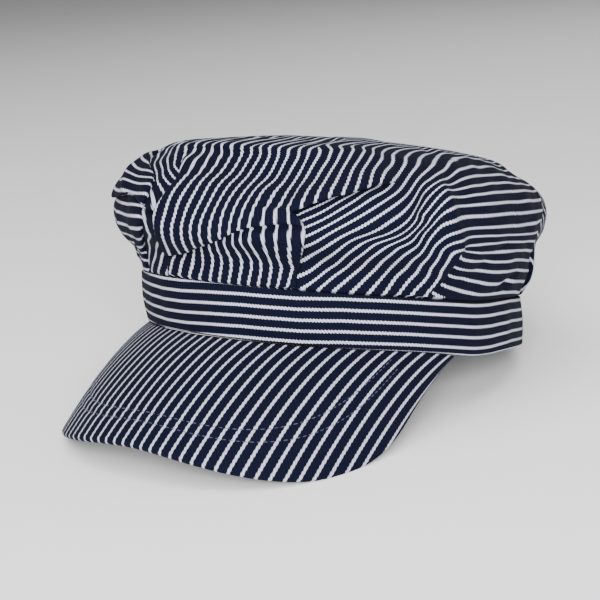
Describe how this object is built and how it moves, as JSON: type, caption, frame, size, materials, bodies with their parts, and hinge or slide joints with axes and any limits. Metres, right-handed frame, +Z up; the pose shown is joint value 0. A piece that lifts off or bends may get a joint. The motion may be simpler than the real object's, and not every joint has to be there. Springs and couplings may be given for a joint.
{
  "type": "railroad engineer cap",
  "caption": "Soft striped work cap with a pleated full crown gathered into a low band, and a short curved visor with rounded corners.",
  "frame": {"origin": "middle of the cap's footprint, on the surface it rests on", "axes": "+Z up, -Y toward the visor (the cap's front), +X toward the wearer's left; the cap leans back as it rests, on the visor's two front corners and the back of the band"},
  "size_m": [0.182, 0.2624, 0.1217],
  "materials": {
    "crown_cloth": "dark navy cotton twill with narrow off-white stripes, matte, laid in soft folds",
    "band_cloth": "the same stripe twill, matte, stripes running round the head",
    "visor_cloth": "the same stripe twill stretched over a stiffener, matte, stripes running front to back"
  },
  "bodies": {
    "root": {"crown": "crown_cloth", "band": "band_cloth", "visor": "visor_cloth"}
  },
  "joints": []
}
